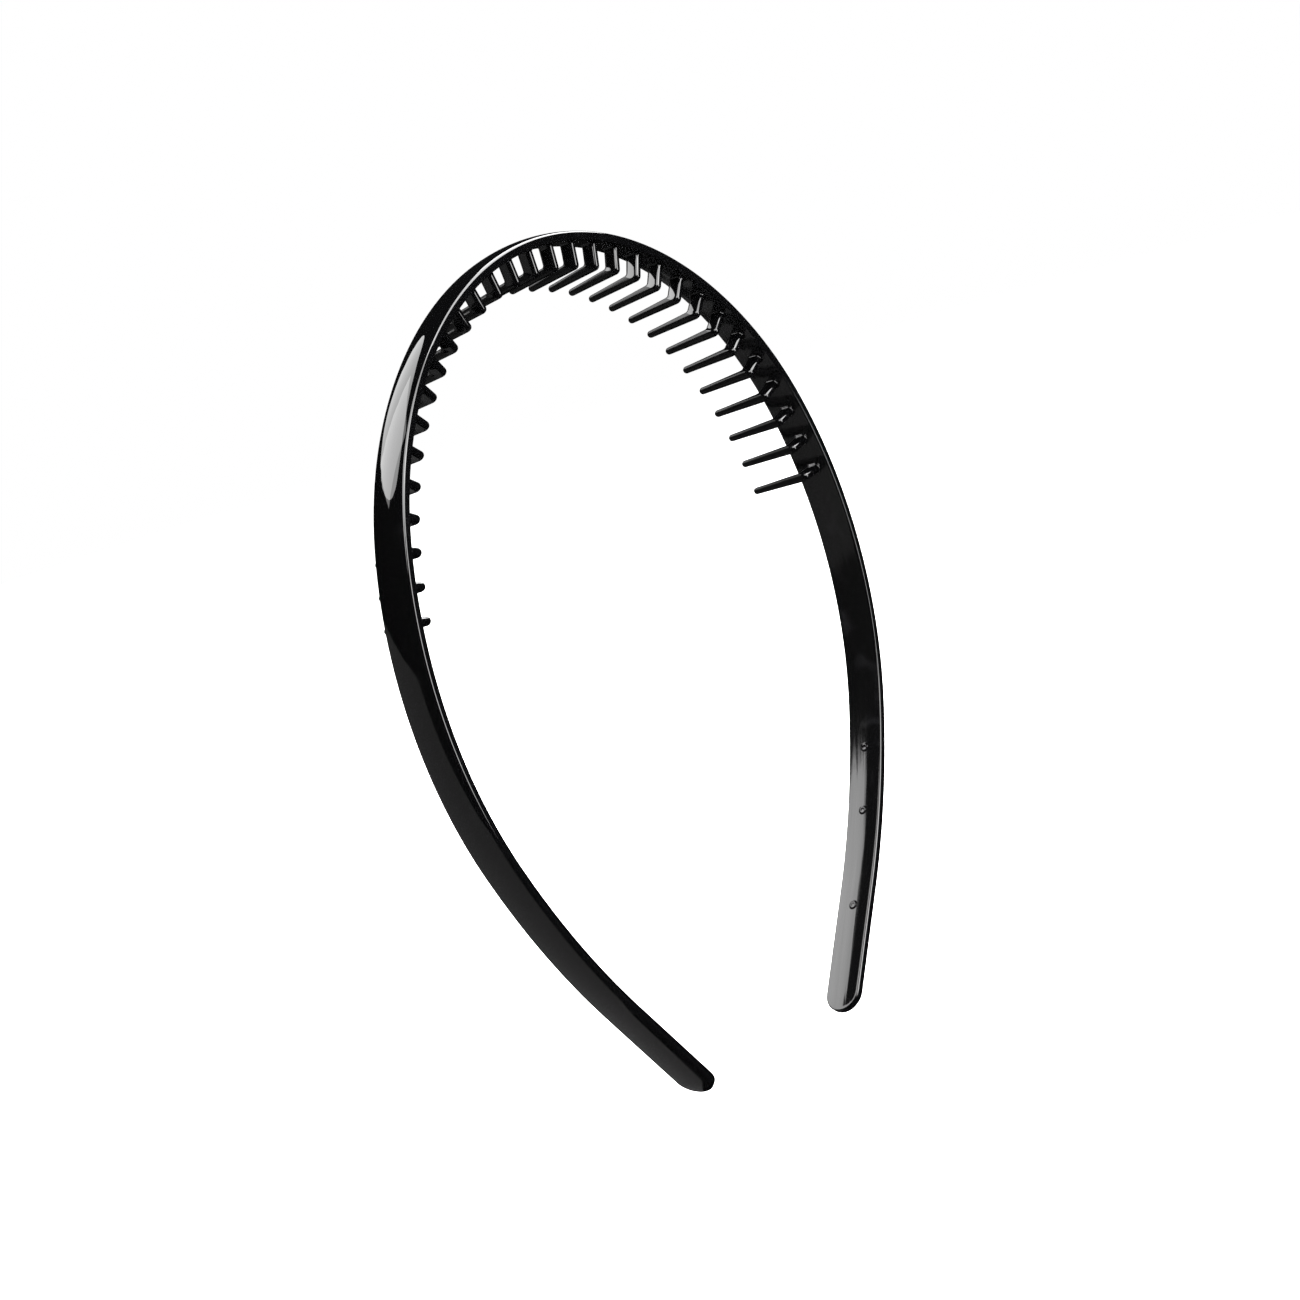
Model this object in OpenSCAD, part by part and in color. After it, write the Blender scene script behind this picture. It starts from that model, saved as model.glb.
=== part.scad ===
// A comb headband: one springy hoop that opens downwards, with a row of hooked teeth
// along the inside of its upper half. The hoop lies in the XZ plane with its crown at the
// top. The teeth hang from its inside face and their fingers point back, along +Y.
// The origin is the middle of the crown's inside face, where the head carries it.
// Left and right are the wearer's: the wearer faces -Y, so left is +X.

/* [Hoop] */
// Radius of the inside face over the crown
crown_r = 60; // [55:0.5:75]
// Angle from the top at which the crown's curve ends
crown_end = 71; // [60:1:80]
// Radius of the inside face beside the temples
side_r = 76; // [60:1:95]
// Angle from the top at which the side's curve ends
side_end = 114; // [100:1:120]
// Radius of the inside face along the arms
arm_r = 136; // [90:2:170]
// Angle from the top at which the arm's curve ends and its straight tip begins
arm_end = 129; // [122:1:135]
// Length of each straight tip, with its round end
tip_l = 24; // [15:1:32]

/* [Band] */
// Width of the band at the middle of the crown
crown_w = 5; // [4:0.2:8]
// Width of the band at its widest, beside the last tooth
side_w = 7.4; // [5:0.2:9]
// Width of the band at its tips
tip_w = 7.3; // [4:0.2:8]
// Thickness of the band at its edges
edge_t = 1.7; // [1.2:0.05:2.6]
// Extra thickness of the domed outside face at its middle
dome_h = 0.35; // [0.1:0.05:1]
// Radius of the outside edges
edge_r = 0.6; // [0.1:0.05:0.7]
// Width of the bevel along the inside edges
bevel = 0.2; // [0.05:0.05:0.4]

/* [Teeth] */
// Teeth on each side of the middle
teeth_per_side = 15; // [4:1:18]
// Distance between teeth along the inside face
tooth_pitch = 6; // [4.5:0.1:7.5]
// Teeth on each side that belong to the crown; the rest move with the arms
crown_teeth = 10; // [2:1:12]
// Width of a post along the band
post_w = 1.5; // [1:0.1:2]
// Depth of a post from front to back
post_d = 2.85; // [1.6:0.05:3.2]
// How far the front of a post lies ahead of the band's middle
post_front = 1.6; // [0.8:0.1:2]
// Depth of the elbow's lowest point under the inside face
elbow_h = 5; // [3.5:0.1:6.5]
// Radius of the elbow's round front
elbow_r = 1; // [0.8:0.05:1]
// Reach of a finger's tip behind the band's middle
finger_reach = 10.1; // [5:0.1:12]
// Depth of the centre of a finger's round tip under the inside face
finger_drop = 5.7; // [4:0.1:7]
// Radius of a finger where it leaves the elbow
finger_root_r = 0.8; // [0.5:0.05:0.95]
// Radius of a finger's round tip
finger_tip_r = 0.66; // [0.4:0.02:0.8]

/* [Inside marks] */
// Raised round pips on the inside face of each arm; one more stands on each tip
pips_per_arm = 2; // [0:1:4]
// Radius of a pip
pip_r = 0.7; // [0.4:0.1:1.2]
// Height of a pip above the inside face
pip_h = 0.15; // [0.1:0.05:0.4]
// Distance from a tip's root forward to its pip
tip_pip = 3.5; // [1:0.5:8]
// Distance from a tip's root back to the arm's nearest pip
arm_pip = 15; // [2:0.5:20]
// Distance between the arm's pips
pip_gap = 12; // [8:1:16]

/* [Hidden] */
$fn = 48;
black = [0.03, 0.03, 0.035];

// Rings in each stretch between teeth, so that every tooth stands on one flat facet
rings_per_pitch = 3;
// Largest distance between rings along the arms
arm_step = 4;
// Steps in the round of an outside edge, and in the dome between the two edges
edge_steps = 2;
dome_steps = 4;

// Distances along the inside face from its middle to the end of each curve
crown_len = crown_r * crown_end * PI / 180;
side_len = crown_len + side_r * (side_end - crown_end) * PI / 180;
arm_len = side_len + arm_r * (arm_end - side_end) * PI / 180;
flex_len = crown_teeth * tooth_pitch;
teeth_len = teeth_per_side * tooth_pitch;

LEFT = 1;
RIGHT = -1;

function side_name(side) = side == LEFT ? "left" : "right";
function tooth_name(side, i) = str(side_name(side), "_tooth_", i < 10 ? "0" : "", i);

// Place on the inside face: [x, z, angle from the top] at distance s from the middle, s >= 0
function on_curve(start, r, s) =
    let (a = start[2] + s / r * 180 / PI)
    [start[0] + r * (sin(a) - sin(start[2])), start[1] + r * (cos(a) - cos(start[2])), a];
crown_foot = on_curve([0, 0, 0], crown_r, crown_len);
side_foot = on_curve(crown_foot, side_r, side_len - crown_len);
arm_foot = on_curve(side_foot, arm_r, arm_len - side_len);
function half_place(s) =
    s <= crown_len ? on_curve([0, 0, 0], crown_r, s) :
    s <= side_len ? on_curve(crown_foot, side_r, s - crown_len) :
    s <= arm_len ? on_curve(side_foot, arm_r, s - side_len) :
    [arm_foot[0] + (s - arm_len) * cos(arm_end), arm_foot[1] - (s - arm_len) * sin(arm_end), arm_end];
// The same at any s: the left half has s > 0 and the right half s < 0
function place(s) = let (p = half_place(abs(s))) s < 0 ? [-p[0], p[1], -p[2]] : p;

// Width of the band: it swells from the crown to the last tooth, then narrows to the tip
function ease(t) = let (u = max(0, min(1, t))) u * u * (3 - 2 * u);
function width(s) =
    crown_w + (side_w - crown_w) * ease(abs(s) / teeth_len)
    + (tip_w - side_w) * ease((abs(s) - teeth_len) / (arm_len - teeth_len));

// Outline of the band's section as [across, outwards] points, for a band 2 * h wide
function dome_at(y, h) = edge_t + dome_h * (1 - pow(y / (h - edge_r), 2));
function half_section(h) = concat(
    [[h - bevel, 0], [h, bevel]],
    [for (i = [0:edge_steps])
        let (a = 90 * i / edge_steps) [h - edge_r + edge_r * cos(a), edge_t - edge_r + edge_r * sin(a)]],
    [for (i = [1:dome_steps / 2])
        let (y = (h - edge_r) * (1 - 2 * i / dome_steps)) [y, dome_at(y, h)]]);
function section(h) =
    let (right = half_section(h), n = len(right))
    concat(right, [for (i = [n - 2:-1:0]) [-right[i][0], right[i][1]]]);

// Ring of the band's section at distance s along the inside face
function ring(s) =
    let (p = place(s), a = p[2])
    [for (q = section(width(s) / 2)) [p[0] + q[1] * sin(a), q[0], p[1] + q[1] * cos(a)]];

// Band through the rings at the given distances, in rising order
module band(stations) {
    rings = [for (s = stations) ring(s)];
    n = len(rings[0]);
    last = len(rings) - 1;
    points = [for (r = rings) each r];
    walls = [for (i = [0:last - 1], j = [0:n - 1])
        let (a = i * n + j, b = i * n + (j + 1) % n) each [[a, b, b + n], [a, b + n, a + n]]];
    caps = [[for (j = [n - 1:-1:0]) j], [for (j = [0:n - 1]) last * n + j]];
    polyhedron(points, concat(walls, caps), convexity = 4);
}

function steps(from, to, count) = [for (i = [0:count]) from + (to - from) * i / count];
function mirrored(stations) = [for (i = [len(stations) - 1:-1:0]) -stations[i]];
function side_stations(side, stations) = side == LEFT ? stations : mirrored(stations);

// Moves what is modelled at the top, under the inside face, to distance s along it
module at(s) {
    p = place(s);
    translate([p[0], 0, p[1]]) rotate([0, p[2], 0]) children();
}

module crown_band() {
    color(black) band(steps(-flex_len, flex_len, 2 * crown_teeth * rings_per_pitch));
}

module shoulder(side) {
    count = (teeth_per_side - crown_teeth) * rings_per_pitch;
    color(black) band(side_stations(side, steps(flex_len, teeth_len, count)));
}

module arm(side) {
    count = ceil((arm_len - teeth_len) / arm_step);
    color(black) {
        band(side_stations(side, steps(teeth_len, arm_len, count)));
        for (i = [0:1:pips_per_arm - 1]) at(side * (arm_len - arm_pip - i * pip_gap)) pip();
    }
}

// Low round pip on the inside face, sunk a little way in so that it joins it all round
module pip() {
    sink = 0.2;
    translate([0, 0, -pip_h]) cylinder(r = pip_r, h = pip_h + sink);
}

// Straight end of an arm, with its end turned round about the thickness
module tip(side) {
    straight = tip_l - tip_w / 2;
    profile = section(tip_w / 2);
    color(black) at(side * arm_len) {
        rotate([90, 0, 90]) mirror([0, 0, side == LEFT ? 0 : 1]) linear_extrude(straight) polygon(profile);
        translate([side * straight, 0, 0]) rotate([0, 0, side == LEFT ? -90 : 90])
            rotate_extrude(angle = 180) intersection() {
                polygon(profile);
                square(tip_w);
            }
        translate([side * tip_pip, 0, 0]) pip();
    }
}

// Hooked tooth: a flat post under the band, a round elbow and a finger that points back
module tooth(side, i) {
    s = (i - 0.5) * tooth_pitch;
    elbow = [0, elbow_r - post_front, elbow_r - elbow_h];
    finger_tip = [0, finger_reach - finger_tip_r, -finger_drop];
    color(black) at(side * s) translate([0, 0, -facet_sag(s)]) {
        post(elbow);
        finger(elbow, finger_tip);
    }
}

// How far the facet of the inside face that carries a tooth lies inside the true curve
function facet_sag(s) =
    let (half = tooth_pitch / rings_per_pitch / 2, r = s < crown_len ? crown_r : side_r)
    r * (1 - cos(half / r * 180 / PI));

// Post with rounded front and back faces; its lower end is round at the front
module post(elbow) {
    intersection() {
        rotate([90, 0, 90]) translate([0, 0, -post_w / 2]) linear_extrude(post_w) {
            translate([elbow[1], elbow[2]]) circle(elbow_r);
            translate([-post_front, elbow[2]]) square([post_d, -elbow[2]]);
        }
        translate([0, 0, -elbow_h]) linear_extrude(elbow_h) {
            for (y = [post_w / 2, post_d - post_w / 2]) translate([0, y - post_front]) circle(post_w / 2);
            translate([-post_w / 2, post_w / 2 - post_front]) square([post_w, post_d - post_w]);
        }
    }
}

// Round finger that narrows from the elbow to its round tip
module finger(from, to) {
    d = to - from;
    translate(from) rotate([-atan2(d[1], d[2]), 0, 0]) cylinder(r1 = finger_root_r, r2 = finger_tip_r, h = norm(d));
    translate(to) sphere(finger_tip_r);
}

crown_band();
for (side = [LEFT, RIGHT]) {
    shoulder(side);
    arm(side);
    tip(side);
    for (i = [1:teeth_per_side]) tooth(side, i);
}
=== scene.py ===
"""Looks of a glossy black comb headband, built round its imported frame.

The real hoop is a single moulding, so the looks are made of the same members as the frame: two smooth
halves of the band, which meet at the top and bend where the arms spring, and thirty hooked teeth.
Sizes are in metres. Left is the wearer's left, +X, and the wearer faces -Y.
"""

import logging
import math
from dataclasses import dataclass, field
from enum import Enum

import bmesh
import bpy
from mathutils import Matrix, Vector


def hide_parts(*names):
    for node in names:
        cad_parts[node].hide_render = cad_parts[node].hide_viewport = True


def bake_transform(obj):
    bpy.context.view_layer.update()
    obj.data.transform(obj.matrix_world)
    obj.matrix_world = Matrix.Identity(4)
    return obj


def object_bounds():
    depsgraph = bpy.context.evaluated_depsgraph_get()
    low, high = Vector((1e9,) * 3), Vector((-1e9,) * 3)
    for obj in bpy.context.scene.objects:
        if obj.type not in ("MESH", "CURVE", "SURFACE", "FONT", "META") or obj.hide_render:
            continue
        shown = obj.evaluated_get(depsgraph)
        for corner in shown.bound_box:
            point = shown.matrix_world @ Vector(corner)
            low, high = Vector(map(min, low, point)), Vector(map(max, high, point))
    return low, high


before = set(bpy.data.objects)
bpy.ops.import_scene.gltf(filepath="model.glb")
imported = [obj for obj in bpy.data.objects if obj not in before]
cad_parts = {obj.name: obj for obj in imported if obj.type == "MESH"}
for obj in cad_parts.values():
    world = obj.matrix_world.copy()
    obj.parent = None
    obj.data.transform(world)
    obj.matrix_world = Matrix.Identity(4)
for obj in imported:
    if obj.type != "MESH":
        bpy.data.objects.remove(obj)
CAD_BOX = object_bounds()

log = logging.getLogger("headband")
MM = 0.001
FLOW = "flow"
TEETH_PER_SIDE = 15
SMUDGE_SHARE = 0.6
SPECK_RELIEF = 0.02


class Side(Enum):
    """The wearer's two sides; the value is the sign of X."""

    LEFT = 1
    RIGHT = -1

    @property
    def word(self) -> str:
        """The side's name as the frame's nodes write it."""
        return self.name.lower()


class Coat(Enum):
    """The surfaces of the mould; the value is the material slot on a mesh."""

    POLISHED = 0
    MOULDED = 1
    SATIN = 2


def ease(share: float) -> float:
    """Smooth step from 0 to 1.

    Args:
        share: How far along the step, in any range.

    Returns:
        0 below 0, 1 above 1, and an S-shaped rise between them.
    """
    t = min(1.0, max(0.0, share))
    return t * t * (3 - 2 * t)


@dataclass(frozen=True)
class Spot:
    """A place on the hoop's inside face, with the directions of the band there."""

    x: float
    z: float
    turn: float

    @property
    def out(self) -> Vector:
        """Direction from the inside face to the outside one."""
        return Vector((math.sin(self.turn), 0, math.cos(self.turn)))

    @property
    def along(self) -> Vector:
        """Direction along the band, towards the wearer's left."""
        return Vector((math.cos(self.turn), 0, -math.sin(self.turn)))

    def point(self, along: float, across: float, out: float) -> Vector:
        """Point at these distances from the spot, in the band's own directions.

        Args:
            along: Distance along the band.
            across: Distance towards the back of the head.
            out: Distance outwards from the inside face.

        Returns:
            The point in the row frame.
        """
        return Vector((self.x, across, self.z)) + self.along * along + self.out * out


@dataclass(frozen=True)
class HoopLine:
    """Centre line of the inside face, three curves and a straight tip on each side, and the width."""

    crown_r: float = 60 * MM
    crown_end: float = math.radians(71)
    side_r: float = 76 * MM
    side_end: float = math.radians(114)
    arm_r: float = 136 * MM
    arm_end: float = math.radians(129)
    tip_l: float = 24 * MM
    crown_w: float = 5 * MM
    side_w: float = 7.4 * MM
    tip_w: float = 7.3 * MM
    toothed: float = 90 * MM

    @property
    def arm_len(self) -> float:
        """Distance from the top to the root of a straight tip."""
        turns = self.crown_end, self.side_end - self.crown_end, self.arm_end - self.side_end
        return sum(turn * r for turn, r in zip(turns, (self.crown_r, self.side_r, self.arm_r)))

    @property
    def straight_end(self) -> float:
        """Distance from the top to where the tip's round end begins."""
        return self.arm_len + self.tip_l - self.tip_w / 2

    def spot(self, s: float) -> Spot:
        """Place on the inside face.

        Args:
            s: Distance from the top, positive on the wearer's left.

        Returns:
            The spot there, with its turn signed as s is.
        """
        left = abs(s)
        x = z = turn = 0.0
        curves = (self.crown_r, self.crown_end), (self.side_r, self.side_end), (self.arm_r, self.arm_end)
        for r, end in curves:
            step = min(end - turn, left / r)
            x += r * (math.sin(turn + step) - math.sin(turn))
            z += r * (math.cos(turn + step) - math.cos(turn))
            turn += step
            left -= step * r
        x += left * math.cos(turn)
        z -= left * math.sin(turn)
        sign = -1 if s < 0 else 1
        return Spot(sign * x, z, sign * turn)

    def width(self, s: float) -> float:
        """Width of the band: it swells down to the last tooth, then narrows to the tip.

        Args:
            s: Distance from the top.

        Returns:
            The full width there.
        """
        arms = (abs(s) - self.toothed) / (self.arm_len - self.toothed)
        swell = (self.side_w - self.crown_w) * ease(abs(s) / self.toothed)
        return self.crown_w + swell + (self.tip_w - self.side_w) * ease(arms)


@dataclass(frozen=True)
class ProfilePoint:
    """A point of the band's half section, with its normal and the surface that follows it."""

    across: float
    out: float
    normal: tuple[float, float]
    coat: Coat


@dataclass(frozen=True)
class BandSection:
    """Section of the band: a domed outside, plain walls and a nearly flat inside, with rounded edges."""

    thickness: float = 2.05 * MM
    dome: float = 0.42 * MM
    outer_r: float = 0.6 * MM
    inner_r: float = 0.28 * MM
    face_steps: int = 7
    edge_steps: int = 8
    wall_shares: tuple[float, ...] = (0.35, 0.7)

    def _edge(self, half: float, radius: float, rise: float) -> tuple[float, float]:
        """Where a crowned face turns into the round edge beside it.

        Args:
            half: Half of the band's width.
            radius: Radius of the edge.
            rise: How far the face falls from its middle to the band's side.

        Returns:
            The face's slope there in radians, and the distance from the middle.
        """
        slope, reach = 0.0, half - radius
        for _ in range(8):
            reach = half - radius + radius * math.sin(slope)
            slope = math.atan(2 * rise * reach / half**2)
        return slope, reach

    def half_profile(self, half: float, inside: float) -> list[ProfilePoint]:
        """Half of the section, from the middle of the inside to the middle of the outside.

        Args:
            half: Half of the band's width.
            inside: How far the inside face falls away from its middle to its sides.

        Returns:
            The points in order.
        """
        slope, reach = self._edge(half, self.inner_r, inside)
        points = []
        for i in range(self.face_steps):
            y = reach * i / self.face_steps
            lean = math.atan(2 * inside * y / half**2)
            normal = (math.sin(lean), -math.cos(lean))
            points.append(ProfilePoint(y, inside * (y / half) ** 2, normal, Coat.MOULDED))
        low = inside * (reach / half) ** 2 + self.inner_r * math.cos(slope)
        points += self._round(half - self.inner_r, low, self.inner_r, slope - math.pi / 2, 0.0)
        slope, reach = self._edge(half, self.outer_r, self.dome)
        high = self.thickness - self.dome * (reach / half) ** 2 - self.outer_r * math.cos(slope)
        for share in self.wall_shares:
            points.append(ProfilePoint(half, low + (high - low) * share, (1.0, 0.0), Coat.POLISHED))
        points += self._round(half - self.outer_r, high, self.outer_r, 0.0, math.pi / 2 - slope)
        for i in range(1, self.face_steps + 1):
            y = reach * (1 - i / self.face_steps)
            lean = math.atan(2 * self.dome * y / half**2)
            out = self.thickness - self.dome * (y / half) ** 2
            points.append(ProfilePoint(y, out, (math.sin(lean), math.cos(lean)), Coat.POLISHED))
        return points

    def _round(
        self, across: float, out: float, radius: float, start: float, end: float
    ) -> list[ProfilePoint]:
        """A round, polished edge of the section.

        Args:
            across: Centre's distance from the middle of the band.
            out: Centre's distance from the inside face.
            radius: The edge's radius.
            start: Angle of its first normal from the side, in radians.
            end: Angle of its last normal.

        Returns:
            The points in order, both ends included.
        """
        points = []
        for i in range(self.edge_steps + 1):
            angle = start + (end - start) * i / self.edge_steps
            c, s = math.cos(angle), math.sin(angle)
            points.append(ProfilePoint(across + radius * c, out + radius * s, (c, s), Coat.POLISHED))
        return points


@dataclass
class MeshDraft:
    """A mesh in the making: points, their normals if they are known, and their place in the mould."""

    points: list[Vector] = field(default_factory=list)
    normals: list[Vector] = field(default_factory=list)
    flow: list[Vector] = field(default_factory=list)
    faces: list[tuple[int, ...]] = field(default_factory=list)
    coats: list[int] = field(default_factory=list)

    def add(self, point: Vector, flow: Vector, normal: Vector | None = None) -> int:
        """Adds a point.

        Args:
            point: Its place in the row frame.
            flow: Its place in the mould, laid out straight: along, across and out.
            normal: Its own normal; without one, the faces around it give it.

        Returns:
            Its number.
        """
        self.points.append(point)
        self.flow.append(flow)
        self.normals.append(normal or Vector((0, 0, 0)))
        return len(self.points) - 1

    def bridge(self, one: list[int], other: list[int], coats: list[Coat], closed: bool = True) -> None:
        """Joins two rows of points with faces.

        Args:
            one: Numbers of the first row's points.
            other: Numbers of the second row's, one for each.
            coats: Surface of the strip after each point.
            closed: Whether the rows are rings.
        """
        count = len(one)
        for j in range(count if closed else count - 1):
            k = (j + 1) % count
            corners = [one[j], one[k], other[k], other[j]]
            self.face(corners, coats[j])

    def face(self, corners: list[int], coat: Coat) -> None:
        """Adds a face and leaves out corners that repeat.

        Args:
            corners: Numbers of its points in order.
            coat: Its surface.
        """
        kept = [c for i, c in enumerate(corners) if c not in corners[:i]]
        if len(kept) > 2:
            self.faces.append(tuple(kept))
            self.coats.append(coat.value)

    def build(self, name: str, materials: list[bpy.types.Material]) -> bpy.types.Object:
        """Makes the object.

        Args:
            name: Name of the piece.
            materials: One for each surface of the mould.

        Returns:
            The object, linked to the scene.
        """
        mesh = bpy.data.meshes.new(name)
        mesh.from_pydata(self.points, [], self.faces)
        for material in materials:
            mesh.materials.append(material)
        mesh.polygons.foreach_set("material_index", self.coats)
        made = mesh.attributes.new(FLOW, "FLOAT_VECTOR", "POINT")
        made.data.foreach_set("vector", [c for place in self.flow for c in place])
        work = bmesh.new()
        work.from_mesh(mesh)
        bmesh.ops.recalc_face_normals(work, faces=work.faces)
        work.to_mesh(mesh)
        work.free()
        mesh.shade_smooth()
        if any(n.length for n in self.normals):
            mesh.update()
            own = [n if n.length else mesh.vertices[i].normal.copy() for i, n in enumerate(self.normals)]
            mesh.normals_split_custom_set_from_vertices(own)
        piece = bpy.data.objects.new(name, mesh)
        bpy.context.scene.collection.objects.link(piece)
        return piece


class EffectGroup:
    """A surface effect that several finishes share, as a shader node group built once."""

    _made: dict[str, bpy.types.NodeTree] = {}

    def __init__(self, name: str, inputs: dict[str, float], outputs: list[str]) -> None:
        """Starts the group with its sockets.

        Args:
            name: Name of the effect.
            inputs: Name and usual value of each number that it takes besides the place in the mould.
            outputs: Names of the values that it gives.
        """
        self.tree = bpy.data.node_groups.new(name, "ShaderNodeTree")
        self.tree.interface.new_socket("Place", in_out="INPUT", socket_type="NodeSocketVector")
        for word, value in inputs.items():
            socket = self.tree.interface.new_socket(word, in_out="INPUT", socket_type="NodeSocketFloat")
            socket.default_value = value
        for word in outputs:
            self.tree.interface.new_socket(word, in_out="OUTPUT", socket_type="NodeSocketFloat")
        self.start = self.tree.nodes.new("NodeGroupInput")
        self.end = self.tree.nodes.new("NodeGroupOutput")
        self._made[name] = self.tree

    def node(self, kind: str, **settings: object) -> bpy.types.Node:
        """Adds a node; see add_node."""
        return add_node(self.tree, kind, **settings)

    def link(self, source: bpy.types.NodeSocket, target: bpy.types.NodeSocket) -> None:
        """Joins two sockets."""
        self.tree.links.new(source, target)

    @classmethod
    def place(
        cls, name: str, tree: bpy.types.NodeTree, flow: bpy.types.NodeSocket, **values: float
    ) -> bpy.types.Node:
        """Puts an effect into a material.

        Args:
            name: Name of the effect.
            tree: The material's node tree.
            flow: Socket that gives the place in the mould.
            values: The material's own values for the effect's inputs.

        Returns:
            The group node.
        """
        made = tree.nodes.new("ShaderNodeGroup")
        made.node_tree = cls._made[name]
        tree.links.new(flow, made.inputs["Place"])
        for word, value in values.items():
            made.inputs[word].default_value = value
        return made


def add_node(tree: bpy.types.NodeTree, kind: str, **settings: object) -> bpy.types.Node:
    """Adds a node to a tree.

    Args:
        tree: The tree.
        kind: The node's type, without its usual prefix.
        settings: Values of its properties.

    Returns:
        The node.
    """
    made = tree.nodes.new("ShaderNode" + kind)
    for word, value in settings.items():
        setattr(made, word, value)
    return made


def build_effects() -> None:
    """Builds the effects that the finishes share: mould ripple, flow streaks and handling marks."""
    ripple = EffectGroup("Mould ripple", {"Length": 9 * MM}, ["Height"])
    scale = ripple.node("Math", operation="DIVIDE")
    scale.inputs[0].default_value = 1.0
    ripple.link(ripple.start.outputs["Length"], scale.inputs[1])
    noise = ripple.node("TexNoise")
    noise.inputs["Detail"].default_value = 1.5
    noise.inputs["Roughness"].default_value = 0.4
    ripple.link(ripple.start.outputs["Place"], noise.inputs["Vector"])
    ripple.link(scale.outputs[0], noise.inputs["Scale"])
    ripple.link(noise.outputs["Fac"], ripple.end.inputs["Height"])

    streaks = EffectGroup("Flow streaks", {"Stretch": 0.06, "Fineness": 800.0}, ["Streaks", "Waves"])
    squeeze = streaks.node("CombineXYZ")
    squeeze.inputs["Y"].default_value = 1.0
    squeeze.inputs["Z"].default_value = 1.0
    streaks.link(streaks.start.outputs["Stretch"], squeeze.inputs["X"])
    laid = streaks.node("VectorMath", operation="MULTIPLY")
    streaks.link(streaks.start.outputs["Place"], laid.inputs[0])
    streaks.link(squeeze.outputs[0], laid.inputs[1])
    noise = streaks.node("TexNoise")
    noise.inputs["Detail"].default_value = 4.0
    noise.inputs["Roughness"].default_value = 0.6
    streaks.link(laid.outputs[0], noise.inputs["Vector"])
    streaks.link(streaks.start.outputs["Fineness"], noise.inputs["Scale"])
    streaks.link(noise.outputs["Fac"], streaks.end.inputs["Streaks"])
    waves = streaks.node("TexNoise")
    waves.inputs["Detail"].default_value = 1.0
    waves.inputs["Distortion"].default_value = 0.5
    streaks.link(laid.outputs[0], waves.inputs["Vector"])
    streaks.link(streaks.start.outputs["Fineness"], waves.inputs["Scale"])
    streaks.link(waves.outputs["Fac"], streaks.end.inputs["Waves"])

    marks = EffectGroup("Handling marks", {"Fineness": 160.0, "Threshold": 0.55}, ["Smudges", "Specks"])
    noise = marks.node("TexNoise")
    noise.inputs["Detail"].default_value = 5.0
    noise.inputs["Distortion"].default_value = 0.6
    marks.link(marks.start.outputs["Place"], noise.inputs["Vector"])
    marks.link(marks.start.outputs["Fineness"], noise.inputs["Scale"])
    cut = marks.node("MapRange", interpolation_type="SMOOTHSTEP")
    cut.inputs["From Max"].default_value = 0.8
    marks.link(noise.outputs["Fac"], cut.inputs["Value"])
    marks.link(marks.start.outputs["Threshold"], cut.inputs["From Min"])
    marks.link(cut.outputs[0], marks.end.inputs["Smudges"])
    specks = marks.node("TexVoronoi", feature="F1")
    specks.inputs["Scale"].default_value = 350.0
    marks.link(marks.start.outputs["Place"], specks.inputs["Vector"])
    dot = marks.node("MapRange", interpolation_type="SMOOTHSTEP")
    dot.inputs["From Min"].default_value = 0.07
    dot.inputs["From Max"].default_value = 0.03
    marks.link(specks.outputs["Distance"], dot.inputs["Value"])
    marks.link(dot.outputs[0], marks.end.inputs["Specks"])


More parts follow.
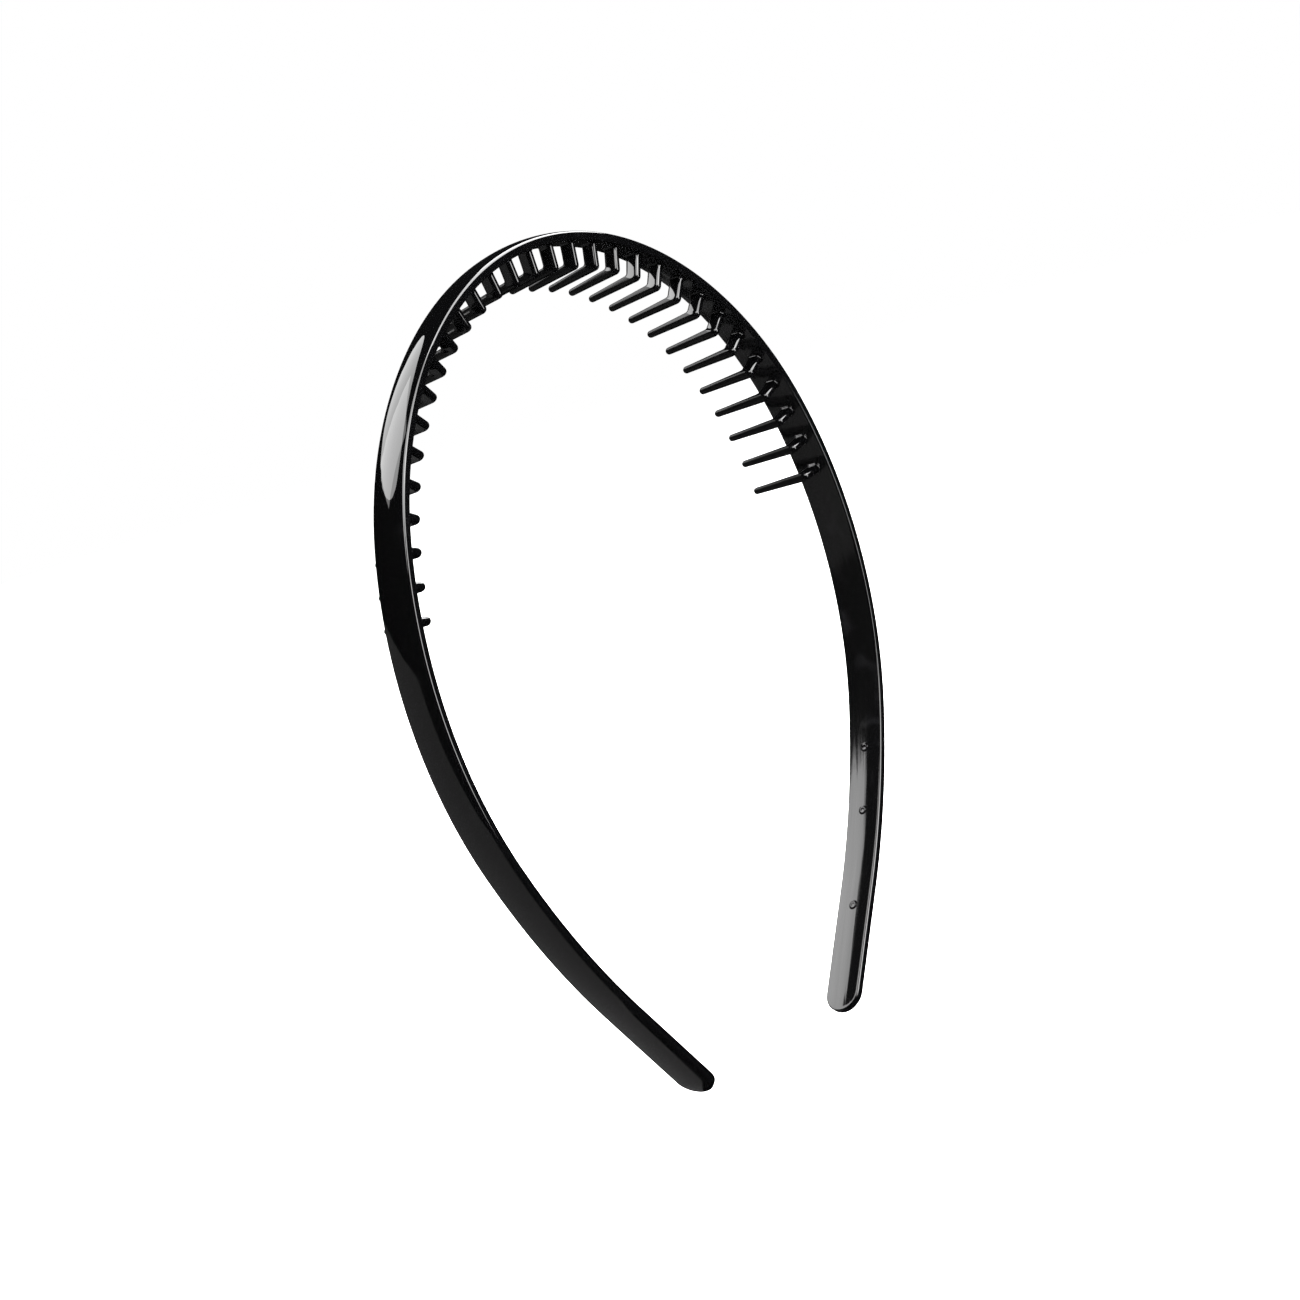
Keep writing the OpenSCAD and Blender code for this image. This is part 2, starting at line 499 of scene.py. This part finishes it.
@dataclass(frozen=True)
class PlasticFinish:
    """Black plastic as one surface of the mould leaves it."""

    name: str
    colour: tuple[float, float, float]
    dull_colour: tuple[float, float, float]
    sheen_low: float
    sheen_high: float
    ripple_length: float
    ripple_depth: float
    streak_share: float
    streak_depth: float
    speck_share: float
    smudge_threshold: float
    gloss: float
    refraction: float = 1.5

    def material(self) -> bpy.types.Material:
        """Builds the material.

        Returns:
            The material, with colour, roughness and relief that change over the surface.
        """
        made = bpy.data.materials.new(self.name)
        made.use_nodes = True
        tree = made.node_tree
        shader = tree.nodes["Principled BSDF"]
        shader.inputs["Metallic"].default_value = 0.0
        shader.inputs["IOR"].default_value = self.refraction
        shader.inputs["Specular IOR Level"].default_value = self.gloss
        flow = add_node(tree, "Attribute", attribute_name=FLOW).outputs["Vector"]
        ripple = EffectGroup.place("Mould ripple", tree, flow, Length=self.ripple_length)
        streaks = EffectGroup.place("Flow streaks", tree, flow)
        marks = EffectGroup.place("Handling marks", tree, flow, Threshold=self.smudge_threshold)
        rough = self._sum(tree, [
            (streaks.outputs["Streaks"], self.streak_share),
            (marks.outputs["Smudges"], SMUDGE_SHARE),
            (marks.outputs["Specks"], self.speck_share),
        ])
        sheen = add_node(tree, "MapRange")
        sheen.inputs["To Min"].default_value = self.sheen_low
        sheen.inputs["To Max"].default_value = self.sheen_high
        tree.links.new(rough, sheen.inputs["Value"])
        tree.links.new(sheen.outputs[0], shader.inputs["Roughness"])
        colour = add_node(tree, "Mix", data_type="RGBA")
        colour.inputs["A"].default_value = (*self.colour, 1)
        colour.inputs["B"].default_value = (*self.dull_colour, 1)
        tree.links.new(marks.outputs["Smudges"], colour.inputs["Factor"])
        tree.links.new(colour.outputs["Result"], shader.inputs["Base Color"])
        relief = self._sum(tree, [
            (ripple.outputs["Height"], self.ripple_depth / MM),
            (streaks.outputs["Waves"], self.streak_depth / MM),
            (marks.outputs["Specks"], self.speck_share * SPECK_RELIEF),
        ])
        bump = add_node(tree, "Bump")
        bump.inputs["Strength"].default_value = 1.0
        bump.inputs["Distance"].default_value = MM
        tree.links.new(relief, bump.inputs["Height"])
        tree.links.new(bump.outputs[0], shader.inputs["Normal"])
        return made

    @staticmethod
    def _sum(
        tree: bpy.types.NodeTree, parts: list[tuple[bpy.types.NodeSocket, float]]
    ) -> bpy.types.NodeSocket:
        """Adds up several values, each with its weight.

        Args:
            tree: The material's node tree.
            parts: Each value's socket and its weight.

        Returns:
            The socket that gives the sum.
        """
        total = None
        for socket, weight in parts:
            step = add_node(tree, "Math", operation="MULTIPLY_ADD")
            step.inputs[1].default_value = weight
            step.inputs[2].default_value = 0.0
            tree.links.new(socket, step.inputs[0])
            if total is not None:
                tree.links.new(total, step.inputs[2])
            total = step.outputs[0]
        return total


POLISHED = PlasticFinish(
    name="polished_black",
    colour=(0.0008, 0.0008, 0.0009),
    dull_colour=(0.002, 0.002, 0.0022),
    sheen_low=0.02,
    sheen_high=0.08,
    ripple_length=11 * MM,
    ripple_depth=0.01 * MM,
    streak_share=0.12,
    streak_depth=0.006 * MM,
    speck_share=0.15,
    smudge_threshold=0.6,
    gloss=0.5,
)
MOULDED = PlasticFinish(
    name="moulded_black",
    colour=(0.0014, 0.0014, 0.0015),
    dull_colour=(0.004, 0.004, 0.0044),
    sheen_low=0.07,
    sheen_high=0.26,
    ripple_length=6 * MM,
    ripple_depth=0.015 * MM,
    streak_share=0.3,
    streak_depth=0.045 * MM,
    speck_share=0.2,
    smudge_threshold=0.55,
    gloss=0.32,
)
SATIN = PlasticFinish(
    name="satin_black",
    colour=(0.001, 0.001, 0.0011),
    dull_colour=(0.003, 0.003, 0.0033),
    sheen_low=0.3,
    sheen_high=0.46,
    ripple_length=5 * MM,
    ripple_depth=0.004 * MM,
    streak_share=0.2,
    streak_depth=0.01 * MM,
    speck_share=0.15,
    smudge_threshold=0.6,
    gloss=0.2,
)


@dataclass
class HoopHalf:
    """One half of the band, from the top of the head to the round end of a tip, with its inside marks."""

    side: Side
    line: HoopLine = field(default_factory=HoopLine)
    section: BandSection = field(default_factory=BandSection)
    ring_step: float = 1.0 * MM
    end_steps: int = 20
    flat_inside: float = 0.04 * MM
    crowned_inside: float = 0.12 * MM
    pip_places: tuple[float, ...] = (140 * MM, 152 * MM, 170.5 * MM)
    pip_r: float = 0.7 * MM
    pip_h: float = 0.15 * MM
    pip_around: int = 24
    crown_over: float = 30 * MM
    front_lean: float = 0.2
    lean_start: float = 0.7 * MM
    lean_width: float = 2.6 * MM
    lean_from: float = 115 * MM
    lean_over: float = 20 * MM

    def inside_lean(self, s: float, across: float) -> float:
        """Angle by which the front part of an arm's inside shades as if it faced the front."""
        frontal = ease((self.lean_start - across) / self.lean_width)
        return self.front_lean * frontal * ease((s - self.lean_from) / self.lean_over)

    def inside_fall(self, s: float) -> float:
        """How far the inside face falls away to its sides: flat among the teeth, crowned along the arms."""
        blend = ease((s - self.line.toothed) / self.crown_over)
        return self.flat_inside + (self.crowned_inside - self.flat_inside) * blend

    def build(self, materials: list[bpy.types.Material]) -> bpy.types.Object:
        """Builds the half as one mesh.

        Args:
            materials: One for each surface of the mould.

        Returns:
            The piece.
        """
        draft = MeshDraft()
        end = self.line.straight_end
        count = round(end / self.ring_step)
        rings = [self._ring(draft, end * i / count) for i in range(count + 1)]
        coats = self._loop_coats()
        for one, other in zip(rings, rings[1:]):
            draft.bridge(one, other, coats)
        self._round_end(draft, rings[-1], end)
        for place in self.pip_places:
            self._pip(draft, place)
        return draft.build(f"{self.side.word}_hoop_half", materials)

    def _profile(self, s: float) -> list[ProfilePoint]:
        """Half section of the band at distance s from the top."""
        return self.section.half_profile(self.line.width(s) / 2, self.inside_fall(s))

    def _loop_coats(self) -> list[Coat]:
        """Surface of the strip after each point of a whole ring."""
        half = [p.coat for p in self._profile(0)]
        return half[:-1] + half[-2::-1]

    def _ring(self, draft: MeshDraft, s: float) -> list[int]:
        """Adds the band's whole section at one distance.

        Args:
            draft: The mesh.
            s: Distance from the top.

        Returns:
            Numbers of the ring's points.
        """
        half = self._profile(s)
        loop = [(p, 1) for p in half] + [(p, -1) for p in half[-2:0:-1]]
        signed = self.side.value * s
        spot = self.line.spot(signed)
        ring = []
        for p, sign in loop:
            flow = Vector((signed, sign * p.across, p.out))
            normal = self._normal(spot, s, p, 0.0, sign)
            ring.append(draft.add(spot.point(0, sign * p.across, p.out), flow, normal))
        return ring

    def _normal(self, spot: Spot, s: float, p: ProfilePoint, ahead: float, back: float) -> Vector:
        """Normal of a profile point, leant over where the inside does so.

        Args:
            spot: Place of the section on the hoop.
            s: Distance of the section from the top.
            p: The point.
            ahead: Share of the section's sideways direction that points along the band.
            back: Share of it that points to the back of the head.

        Returns:
            The normal in the row frame.
        """
        side, out = p.normal
        upright = Vector((0, back * side, 0)) + spot.along * ahead * side + spot.out * out
        if p.coat is not Coat.MOULDED:
            return upright
        lean = self.inside_lean(s, back * p.across)
        return (upright + Vector((0, -math.tan(lean), 0))).normalized()

    def _round_end(self, draft: MeshDraft, last: list[int], s: float) -> None:
        """Turns the half section about the thickness to close the tip.

        Args:
            draft: The mesh.
            last: The last ring's points.
            s: Distance of the last ring from the top.
        """
        half = self._profile(s)
        spot = self.line.spot(self.side.value * s)
        inner, outer = last[0], last[len(half) - 1]
        column = last[: len(half)]
        mirror = [last[0]] + last[: len(half) - 2 : -1]
        coats = [p.coat for p in half]
        for k in range(1, self.end_steps + 1):
            angle = math.pi * k / self.end_steps
            c, ahead = math.cos(angle), self.side.value * math.sin(angle)
            fresh = [inner]
            for p in half[1:-1]:
                normal = self._normal(spot, s, p, ahead, c)
                flow = Vector((self.side.value * s + ahead * p.across, c * p.across, p.out))
                fresh.append(draft.add(spot.point(ahead * p.across, c * p.across, p.out), flow, normal))
            fresh.append(outer)
            if k == self.end_steps:
                fresh = mirror
            draft.bridge(column, fresh, coats, closed=False)
            column = fresh

    def _pip(self, draft: MeshDraft, s: float) -> None:
        """Adds a low round ejector pip on the inside face.

        Args:
            draft: The mesh.
            s: Distance from the top.
        """
        signed = self.side.value * s
        spot = self.line.spot(signed)
        foot = (1.35, -0.05), (1.12, 0.12), (1.0, 0.6)
        rim_and_dimple = (0.86, 0.95), (0.6, 1.0), (0.42, 0.72), (0.2, 0.62)
        rings = []
        for share, height in foot + rim_and_dimple:
            ring = []
            for k in range(self.pip_around):
                angle = 2 * math.pi * k / self.pip_around
                along = share * self.pip_r * math.cos(angle)
                across = share * self.pip_r * math.sin(angle)
                fall = self.inside_fall(s) * (across / (self.line.width(s) / 2)) ** 2
                out = fall - height * self.pip_h
                flow = Vector((signed + along, across, out))
                ring.append(draft.add(spot.point(along, across, out), flow))
            rings.append(ring)
        for one, other in zip(rings, rings[1:]):
            draft.bridge(one, other, [Coat.MOULDED] * self.pip_around)
        draft.face(rings[-1], Coat.MOULDED)

    def dress(self, piece: bpy.types.Object) -> None:
        """Hides the frame's band nodes, which the half stands for, and bakes the half's placement.

        Args:
            piece: The built half.
        """
        word = self.side.word
        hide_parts("crown_band", f"{word}_shoulder", f"{word}_arm", f"{word}_tip")
        spring(piece)


def spring(piece: bpy.types.Object) -> None:
    """Bakes the piece's placement into its mesh.

    Args:
        piece: The piece, at rest.
    """
    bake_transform(piece)


@dataclass(frozen=True)
class ToothSection:
    """A cut through a tooth: its front and back points as (back, depth), and half its width."""

    front: tuple[float, float]
    back: tuple[float, float]
    half: float
    coat: Coat = Coat.POLISHED


@dataclass
class HookedTooth:
    """A tooth of the comb: a flat post, a round elbow and a finger that points back to a round tip."""

    side: Side
    number: int
    line: HoopLine = field(default_factory=HoopLine)
    pitch: float = 6 * MM
    post_w: float = 1.5 * MM
    post_d: float = 2.85 * MM
    post_front: float = 1.6 * MM
    elbow_r: float = 1.0 * MM
    elbow_depth: float = 4.0 * MM
    tip_back: float = 9.44 * MM
    tip_depth: float = 5.7 * MM
    finger_root_r: float = 0.86 * MM
    finger_tip_r: float = 0.66 * MM
    knuckle: float = 0.82 * MM
    root_fillet: float = 0.3 * MM
    elbow_fillet: float = 0.5 * MM
    post_depths: tuple[float, ...] = (-0.12, 0.0, 0.04, 0.09, 0.16, 0.3, 0.8, 1.6, 2.4)
    taper_from: float = 1 * MM
    taper: float = 0.8
    elbow_steps: int = 10
    finger_steps: int = 8
    tip_steps: int = 6
    tip_close: float = 6.2
    around: int = 14

    @property
    def node(self) -> str:
        """The frame's node for this tooth."""
        return f"{self.side.word}_tooth_{self.number:02d}"

    def sections(self) -> list[ToothSection]:
        """Cuts through the tooth in order, from inside the band to the finger's round tip.

        Returns:
            The cuts; the last is nearly a point.
        """
        elbow = (self.elbow_r - self.post_front, self.elbow_depth)
        droop = math.atan2(self.tip_depth - elbow[1], self.tip_back - elbow[0])
        sweep = math.pi / 2 - droop
        rear = self.post_d - self.post_front
        above = elbow[1] - self.finger_root_r / math.cos(droop)
        fillet_back = rear + self.elbow_fillet
        fillet_rise = (fillet_back - elbow[0]) * math.tan(droop) - self.elbow_fillet / math.cos(droop)
        fillet = (fillet_back, above + fillet_rise)
        half = self.post_w / 2
        cuts = []
        for depth in self.post_depths:
            d = depth * MM
            lift = min(self.root_fillet, max(0.0, self.root_fillet - d))
            flare = self.root_fillet - math.sqrt(self.root_fillet**2 - lift**2)
            back = d if d < self.taper_from else self.taper_from + (d - self.taper_from) * self.taper
            cuts.append(ToothSection((-self.post_front - flare, d), (rear + flare, back), half + flare))
        for i in range(self.elbow_steps + 1):
            share = i / self.elbow_steps
            c, s = math.cos(sweep * share), math.sin(sweep * share)
            r = self.elbow_r + (self.finger_root_r - self.elbow_r) * ease(share)
            cuts.append(ToothSection(
                (elbow[0] - r * c, elbow[1] + r * s),
                (fillet[0] - self.elbow_fillet * c, fillet[1] + self.elbow_fillet * s),
                half + (self.knuckle - half) * ease(share),
            ))
        first, sin_d, cos_d = cuts[-1], math.sin(droop), math.cos(droop)
        tip = (self.tip_back, self.tip_depth)
        r = self.finger_tip_r
        under = (tip[0] - r * sin_d, tip[1] + r * cos_d)
        over = (tip[0] + r * sin_d, tip[1] - r * cos_d)
        for i in range(1, self.finger_steps + 1):
            t = i / self.finger_steps
            cuts.append(ToothSection(
                tuple(a + (b - a) * t for a, b in zip(first.front, under)),
                tuple(a + (b - a) * t for a, b in zip(first.back, over)),
                self.knuckle + (r - self.knuckle) * t,
                Coat.SATIN,
            ))
        for i in range(1, self.tip_steps + 1):
            angle = math.pi / 2 * i / self.tip_close
            ahead, small = r * math.sin(angle), r * math.cos(angle)
            middle = (tip[0] + ahead * cos_d, tip[1] + ahead * sin_d)
            cuts.append(ToothSection(
                (middle[0] - small * sin_d, middle[1] + small * cos_d),
                (middle[0] + small * sin_d, middle[1] - small * cos_d),
                small,
                Coat.SATIN,
            ))
        return cuts

    def build(self, materials: list[bpy.types.Material]) -> bpy.types.Object:
        """Builds the tooth as one smooth mesh.

        Args:
            materials: One for each surface of the mould.

        Returns:
            The piece.
        """
        draft = MeshDraft()
        signed = self.side.value * (self.number - 0.5) * self.pitch
        spot = self.line.spot(signed)
        cuts = self.sections()
        rings = [self._ring(draft, spot, signed, cut) for cut in cuts]
        half = self.around + 1
        for cut, one, other in zip(cuts[1:], rings, rings[1:]):
            draft.bridge(one, other, [cut.coat] * half + [Coat.SATIN] * half)
        draft.face(rings[-1], Coat.SATIN)
        return draft.build(f"{self.node}_hook", materials)

    def _ring(self, draft: MeshDraft, spot: Spot, signed: float, cut: ToothSection) -> list[int]:
        """Adds one cut of the tooth, round at its front and back and straight between them.

        Args:
            draft: The mesh.
            spot: The tooth's place on the hoop.
            signed: Its distance from the top.
            cut: The cut.

        Returns:
            Numbers of the ring's points.
        """
        front, back = Vector(cut.front), Vector(cut.back)
        middle, reach = (front + back) / 2, (front - back) / 2
        length = max(reach.length, 1e-9)
        straight = max(0.0, 1 - cut.half / length) + 1e-3
        ring = []
        for end in (1, -1):
            for k in range(self.around + 1):
                angle = math.pi * k / self.around
                wide = end * cut.half * math.cos(angle)
                share = end * (straight + (1 - straight) * math.sin(angle))
                across, depth = middle + reach * share
                flow = Vector((signed + wide, across, -depth))
                ring.append(draft.add(spot.point(wide, across, -depth), flow))
        return ring

    def dress(self, piece: bpy.types.Object) -> None:
        """Hides the frame's node for this tooth, which the tooth stands for, and bakes the tooth's
        placement.

        Args:
            piece: The built tooth.
        """
        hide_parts(self.node)
        spring(piece)


class LampFace(Enum):
    """Outline of a lamp's front; the value is the light's own word for it."""

    BOX = "RECTANGLE"
    OVAL = "ELLIPSE"

    @property
    def fill(self) -> float:
        """Share of the surrounding rectangle that the outline fills."""
        return math.pi / 4 if self is LampFace.OVAL else 1.0


@dataclass(frozen=True)
class SoftBox:
    """A soft studio lamp, placed by where it is seen from the middle of the hoop.

    Bearing is measured from straight behind the head (+Y) towards the wearer's right (-X).
    """

    name: str
    bearing: float
    height: float
    wide: float
    tall: float
    brightness: float
    distance: float = 2.5
    tilt: float = 0.0
    face: LampFace = LampFace.BOX

    def build(self, centre: Vector) -> bpy.types.Object:
        """Builds the lamp so that it faces the hoop.

        Args:
            centre: Middle of the hoop.

        Returns:
            The lamp.
        """
        b, h = math.radians(self.bearing), math.radians(self.height)
        away = Vector((-math.sin(b) * math.cos(h), math.cos(b) * math.cos(h), math.sin(h)))
        lamp = bpy.data.lights.new(self.name, "AREA")
        lamp.shape = self.face.value
        lamp.size, lamp.size_y = self.wide * self.distance, self.tall * self.distance
        area = lamp.size * lamp.size_y * self.face.fill
        lamp.energy = self.brightness * math.pi * area
        made = bpy.data.objects.new(self.name, lamp)
        bpy.context.scene.collection.objects.link(made)
        made.visible_camera = False
        roll = Matrix.Rotation(math.radians(self.tilt), 3, "Z")
        turn = away.to_track_quat("Z", "Y").to_matrix() @ roll
        made.matrix_world = Matrix.Translation(centre + away * self.distance) @ turn.to_4x4()
        return made


@dataclass
class Studio:
    """Plain pale floor, white surroundings, soft lamps and the camera."""

    floor_gap: float = 12 * MM
    floor_size: float = 8.0
    floor_shade: float = 0.96
    floor_roughness: float = 0.9
    dark: float = 0.01
    camera_bearing: float = 51.27
    camera_height: float = 4.744
    camera_roll: float = 16.80
    camera_distance: float = 0.740
    camera_aim: tuple[float, float, float] = (-0.0005, 0.0007, -0.0721)
    lens: float = 118.16
    sensor: float = 36.0
    lamps: tuple[SoftBox, ...] = (
        SoftBox("back_softbox", 16.5, 49, 0.97, 0.5, 5.6, tilt=-2, face=LampFace.OVAL),
        SoftBox("back_core", 28.5, 48, 0.45, 0.44, 3.0),
        SoftBox("side_softbox", -115, 48, 1.3, 0.68, 12.0),
        SoftBox("left_softbox", 160, 42, 1.1, 0.7, 9.0),
        SoftBox("front_softbox", 184, 8, 0.45, 0.92, 8.5),
        SoftBox("front_core", 180, 10, 0.12, 0.8, 6.0, tilt=6),
        SoftBox("backdrop_card", 19, -26, 1.6, 1.44, 0.27, tilt=-14),
    )

    def build(self) -> None:
        """Builds the whole studio round the hoop."""
        low, high = CAD_BOX
        centre = (low + high) / 2
        self._floor(low.z - self.floor_gap)
        self._surroundings()
        for lamp in self.lamps:
            lamp.build(centre)
            log.info("lamp %s", lamp.name)
        self._camera()

    def _floor(self, z: float) -> None:
        """Lays the floor.

        Args:
            z: Its height.
        """
        half = self.floor_size / 2
        mesh = bpy.data.meshes.new("studio_floor")
        corners = [(-half, -half, z), (half, -half, z), (half, half, z), (-half, half, z)]
        mesh.from_pydata(corners, [], [(0, 1, 2, 3)])
        paper = bpy.data.materials.new("pale_floor")
        paper.use_nodes = True
        shader = paper.node_tree.nodes["Principled BSDF"]
        shader.inputs["Base Color"].default_value = (self.floor_shade, self.floor_shade, self.floor_shade, 1)
        shader.inputs["Roughness"].default_value = self.floor_roughness
        shader.inputs["Specular IOR Level"].default_value = 0.0
        mesh.materials.append(paper)
        floor = bpy.data.objects.new("studio_floor", mesh)
        bpy.context.scene.collection.objects.link(floor)
        floor.visible_glossy = False

    def _surroundings(self) -> None:
        """Makes the surroundings white to the eye, and dark where only gloss would mirror them."""
        world = bpy.data.worlds.new("studio")
        world.use_nodes = True
        tree = world.node_tree
        background = tree.nodes["Background"]
        mirrored = add_node(tree, "LightPath").outputs["Is Glossy Ray"]
        mix = add_node(tree, "Mix", data_type="RGBA")
        mix.inputs["A"].default_value = (1, 1, 1, 1)
        mix.inputs["B"].default_value = (self.dark, self.dark, self.dark, 1)
        tree.links.new(mirrored, mix.inputs["Factor"])
        tree.links.new(mix.outputs["Result"], background.inputs["Color"])
        bpy.context.scene.world = world

    def _camera(self) -> None:
        """Stands the camera at the wearer's front right, a little above the middle, rolled to one side."""
        b, h = math.radians(self.camera_bearing), math.radians(self.camera_height)
        back = Vector((-math.sin(b) * math.cos(h), -math.cos(b) * math.cos(h), math.sin(h)))
        data = bpy.data.cameras.new("camera")
        data.sensor_width = self.sensor
        data.lens = self.lens
        data.clip_start, data.clip_end = 0.01, 50.0
        camera = bpy.data.objects.new("camera", data)
        bpy.context.scene.collection.objects.link(camera)
        roll = Matrix.Rotation(math.radians(-self.camera_roll), 3, "Z")
        turn = back.to_track_quat("Z", "Y").to_matrix() @ roll
        place = Vector(self.camera_aim) + back * self.camera_distance
        camera.matrix_world = Matrix.Translation(place) @ turn.to_4x4()
        bpy.context.scene.camera = camera
        bpy.context.scene.view_settings.view_transform = "Standard"


def main() -> None:
    """Builds the studio and the headband."""
    logging.basicConfig(level=logging.INFO, format="%(name)s: %(message)s")
    Studio().build()
    build_effects()
    materials = [POLISHED.material(), MOULDED.material(), SATIN.material()]
    for side in Side:
        members = [HoopHalf(side)]
        members += [HookedTooth(side, number) for number in range(1, TEETH_PER_SIDE + 1)]
        for member in members:
            piece = member.build(materials)
            member.dress(piece)
            log.info("piece %s, %d faces", piece.name, len(piece.data.polygons))


if __name__ == "__main__":
    main()
